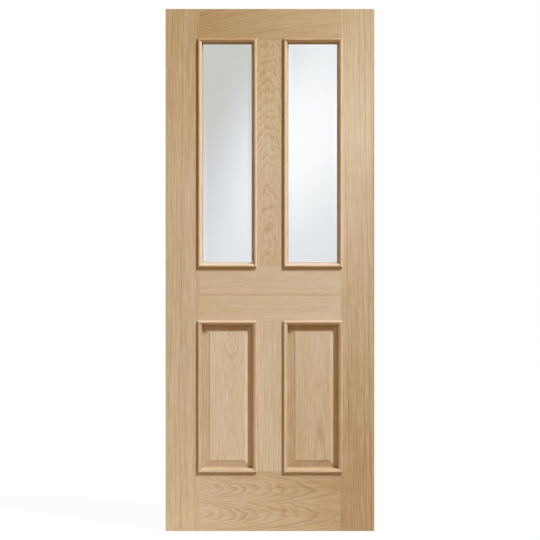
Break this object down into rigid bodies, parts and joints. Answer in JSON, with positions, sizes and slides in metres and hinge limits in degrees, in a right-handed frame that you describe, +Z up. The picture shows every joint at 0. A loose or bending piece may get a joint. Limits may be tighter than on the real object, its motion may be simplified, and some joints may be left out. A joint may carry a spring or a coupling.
{
  "type": "glazed four panel door leaf",
  "caption": "Oak door leaf with bevelled clear glass above and raised-and-fielded panels below, each framed by mitred bolection mouldings on both faces.",
  "frame": {"origin": "On the hinge edge's flat face, at its foot and in the middle of the leaf's thickness.", "axes": "+X runs across the leaf from the hinge edge to the lock edge, +Y runs from the front face to the back, +Z is up."},
  "size_m": [0.813, 0.052, 2.032],
  "materials": {
    "frame_oak": "clear satin lacquer",
    "lipping_oak": "clear satin lacquer",
    "panel_oak": "clear satin lacquer",
    "moulding_oak": "clear satin lacquer",
    "clear_glass": "polished"
  },
  "bodies": {
    "root": {"bottom_rail": "frame_oak", "left_glass": "clear_glass", "left_glass_back_bottom_moulding": "moulding_oak", "left_glass_back_left_moulding": "moulding_oak", "left_glass_back_right_moulding": "moulding_oak", "left_glass_back_top_moulding": "moulding_oak", "left_glass_front_bottom_moulding": "moulding_oak", "left_glass_front_left_moulding": "moulding_oak", "left_glass_front_right_moulding": "moulding_oak", "left_glass_front_top_moulding": "moulding_oak", "left_lipping": "lipping_oak", "left_panel": "panel_oak", "left_panel_back_bottom_moulding": "moulding_oak", "left_panel_back_left_moulding": "moulding_oak", "left_panel_back_right_moulding": "moulding_oak", "left_panel_back_top_moulding": "moulding_oak", "left_panel_front_bottom_moulding": "moulding_oak", "left_panel_front_left_moulding": "moulding_oak", "left_panel_front_right_moulding": "moulding_oak", "left_panel_front_top_moulding": "moulding_oak", "left_stile": "frame_oak", "lower_muntin": "frame_oak", "middle_rail": "frame_oak", "right_glass": "clear_glass", "right_glass_back_bottom_moulding": "moulding_oak", "right_glass_back_left_moulding": "moulding_oak", "right_glass_back_right_moulding": "moulding_oak", "right_glass_back_top_moulding": "moulding_oak", "right_glass_front_bottom_moulding": "moulding_oak", "right_glass_front_left_moulding": "moulding_oak", "right_glass_front_right_moulding": "moulding_oak", "right_glass_front_top_moulding": "moulding_oak", "right_lipping": "lipping_oak", "right_panel": "panel_oak", "right_panel_back_bottom_moulding": "moulding_oak", "right_panel_back_left_moulding": "moulding_oak", "right_panel_back_right_moulding": "moulding_oak", "right_panel_back_top_moulding": "moulding_oak", "right_panel_front_bottom_moulding": "moulding_oak", "right_panel_front_left_moulding": "moulding_oak", "right_panel_front_right_moulding": "moulding_oak", "right_panel_front_top_moulding": "moulding_oak", "right_stile": "frame_oak", "top_rail": "frame_oak", "upper_muntin": "frame_oak"}
  },
  "joints": []
}
